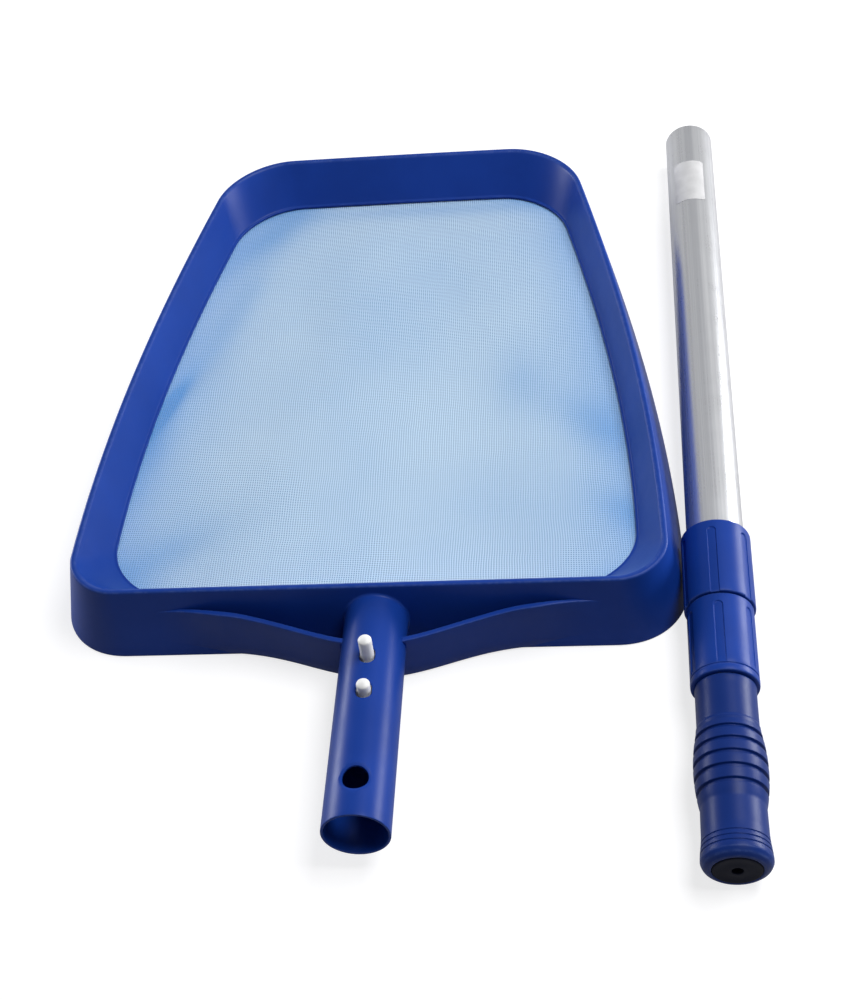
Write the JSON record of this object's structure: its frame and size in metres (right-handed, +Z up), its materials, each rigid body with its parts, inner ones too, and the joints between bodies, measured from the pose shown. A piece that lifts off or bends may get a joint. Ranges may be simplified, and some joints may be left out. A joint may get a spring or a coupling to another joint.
{
  "type": "leaf skimmer net with telescopic pole",
  "caption": "Flat blue leaf skimmer head with a pale woven net and a handle socket with spring clip, beside a three-section aluminium telescopic pole with two twist locks and a ribbed grip.",
  "frame": {"origin": "middle of the footprint of head and pole together, on the floor they lie on", "axes": "+Z up, +Y from the socket's mouth towards the head's far rim, +X towards the pole that lies beside the head"},
  "size_m": [0.3498, 0.5074, 0.0491],
  "materials": {
    "blue_plastic": "satin moulded",
    "white_nylon": "matt moulded",
    "net_mesh": "fine woven nylon mesh",
    "aluminium": "drawn, satin anodised",
    "grey_plastic": "matt moulded"
  },
  "bodies": {
    "head": {"skimmer_frame": "blue_plastic", "skimmer_net": "net_mesh", "clip_base": "white_nylon"},
    "clip": {"clip_button": "white_nylon"},
    "pole_outer": {"outer_tube": "aluminium", "lock_sleeve_1": "blue_plastic"},
    "collar_1": {"lock_collar_1": "blue_plastic"},
    "pole_middle": {"middle_tube": "aluminium", "middle_tube_guide": "grey_plastic", "lock_sleeve_2": "blue_plastic"},
    "collar_2": {"lock_collar_2": "blue_plastic"},
    "pole_inner": {"inner_tube": "aluminium", "inner_tube_guide": "grey_plastic", "grip": "blue_plastic", "grip_end_cap": "grey_plastic"}
  },
  "joints": [
    {"name": "clip_press", "type": "hinge", "parent": "head", "child": "clip", "pos_m": [-0.01148, -0.13013, 0.03216], "axis": [1, 0, 0], "range_deg": [0, 9.5], "stiffness_Nm_per_rad": 2, "springref_deg": -1.72},
    {"name": "pole_lift", "type": "slide", "parent": "head", "child": "pole_outer", "axis": [0, 0, 1], "range_m": [0, 0.15]},
    {"name": "collar_1_twist", "type": "hinge", "parent": "pole_outer", "child": "collar_1", "pos_m": [0.16096, 0.25341, 0.017], "axis": [0.0209, 0.9998, 0], "range_deg": [0, 120]},
    {"name": "middle_slide", "type": "slide", "parent": "pole_outer", "child": "pole_middle", "axis": [-0.0209, -0.9998, 0], "range_m": [0, 0.312]},
    {"name": "collar_2_twist", "type": "hinge", "parent": "pole_middle", "child": "collar_2", "pos_m": [0.16096, 0.25341, 0.017], "axis": [0.0209, 0.9998, 0], "range_deg": [0, 120]},
    {"name": "inner_slide", "type": "slide", "parent": "pole_middle", "child": "pole_inner", "axis": [-0.0209, -0.9998, 0], "range_m": [0, 0.335]}
  ]
}
